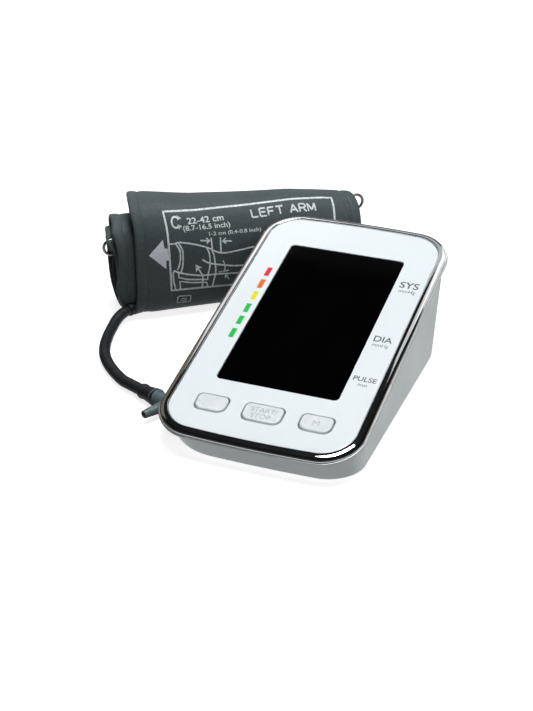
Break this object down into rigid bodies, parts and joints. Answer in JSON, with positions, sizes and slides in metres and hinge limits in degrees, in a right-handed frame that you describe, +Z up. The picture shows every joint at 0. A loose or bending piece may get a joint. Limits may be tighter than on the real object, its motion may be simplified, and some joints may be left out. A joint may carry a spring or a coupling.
{
  "type": "upper arm blood pressure monitor",
  "caption": "Wedge-shaped desk blood pressure monitor with a large display and three keys, beside its rolled arm cuff, short air hose and elbow connector.",
  "frame": {"origin": "centre of the footprint of the desk unit and the cuff together, on the table", "axes": "+X to the desk unit's right, +Y from its keys towards its raised back edge, +Z up"},
  "size_m": [0.2002, 0.2372, 0.071],
  "materials": {
    "white_face": "moulded gloss, faintly blue white",
    "display_glass": "black acrylic window, mirror smooth",
    "chrome_trim": "plated plastic trim, bright",
    "silver_case": "satin silver paint with fine flake",
    "button_caps": "translucent pale silver caps",
    "connector_grey": "blue-grey moulded plastic",
    "black_rubber": "satin black rubber",
    "cuff_fabric": "slate woven nylon",
    "hook_tape": "hook tape",
    "bladder_rubber": "thin rubber",
    "steel": "plain steel",
    "brass": "turned brass",
    "white_plastic": "moulded, matt",
    "board_green": "solder resist",
    "chip_black": "moulded black",
    "cell_wrap": "printed sleeve over a steel can, plain",
    "silicone_tube": "milky silicone"
  },
  "bodies": {
    "desk_unit": {"face_plate": "white_face", "lcd_window": "display_glass", "trim_ring": "chrome_trim", "upper_case": "silver_case", "lower_case": "silver_case", "air_socket": "connector_grey", "foot_1": "black_rubber", "foot_2": "black_rubber", "foot_3": "black_rubber", "foot_4": "black_rubber", "battery_contact_front": "steel", "battery_contact_rear": "steel", "battery_spring_1": "steel", "battery_spring_2": "steel", "battery_spring_3": "steel", "battery_spring_4": "steel", "case_screw_1": "steel", "case_screw_2": "steel", "case_screw_3": "steel", "case_screw_4": "steel", "pump_motor": "steel", "valve_body": "steel", "pump_head": "white_plastic", "air_manifold": "white_plastic", "pressure_sensor": "white_plastic", "main_board": "board_green", "lcd_module": "chip_black", "microcontroller": "chip_black", "buzzer": "chip_black", "tact_switch_1": "chip_black", "tact_switch_2": "chip_black", "tact_switch_3": "chip_black", "battery_1": "cell_wrap", "battery_2": "cell_wrap", "battery_3": "cell_wrap", "battery_4": "cell_wrap", "socket_tube": "silicone_tube", "sensor_tube": "silicone_tube", "pump_tube": "silicone_tube", "valve_tube": "silicone_tube"},
    "set_key": {"set_button": "button_caps"},
    "start_stop_key": {"start_stop_button": "button_caps"},
    "memory_key": {"memory_button": "button_caps"},
    "door": {"battery_door": "silver_case"},
    "crank": {"pump_crank": "steel"},
    "plunger": {"valve_plunger": "brass"},
    "cuff": {"cuff_wrap": "cuff_fabric", "air_bladder": "bladder_rubber", "hook_patch": "hook_tape", "cuff_core": "cuff_fabric", "arm_bar": "steel", "hose_outlet": "black_rubber", "air_hose": "black_rubber", "hose_sleeve": "black_rubber", "elbow_connector": "connector_grey"}
  },
  "joints": [
    {"name": "press_set", "type": "slide", "parent": "desk_unit", "child": "set_key", "axis": [0, 0.2588, -0.9659], "range_m": [0, 0.0008], "stiffness_N_per_m": 500, "springref_m": -0.0006},
    {"name": "press_start_stop", "type": "slide", "parent": "desk_unit", "child": "start_stop_key", "axis": [0, 0.2588, -0.9659], "range_m": [0, 0.0008], "stiffness_N_per_m": 500, "springref_m": -0.0006},
    {"name": "press_memory", "type": "slide", "parent": "desk_unit", "child": "memory_key", "axis": [0, 0.2588, -0.9659], "range_m": [0, 0.0008], "stiffness_N_per_m": 500, "springref_m": -0.0006},
    {"name": "door_slide", "type": "slide", "parent": "desk_unit", "child": "door", "axis": [0, 1, 0], "range_m": [0, 0.012]},
    {"name": "crank_spin", "type": "hinge", "parent": "desk_unit", "child": "crank", "pos_m": [0.03448, 0.03788, 0.0336], "axis": [1, 0, 0], "continuous": true},
    {"name": "valve_stroke", "type": "slide", "parent": "desk_unit", "child": "plunger", "axis": [-1, 0, 0], "range_m": [0, 0.0008], "stiffness_N_per_m": 300, "springref_m": -0.0006},
    {"name": "cuff_set_aside", "type": "slide", "parent": "desk_unit", "child": "cuff", "axis": [-1, 0, 0], "range_m": [0, 0.06]}
  ]
}
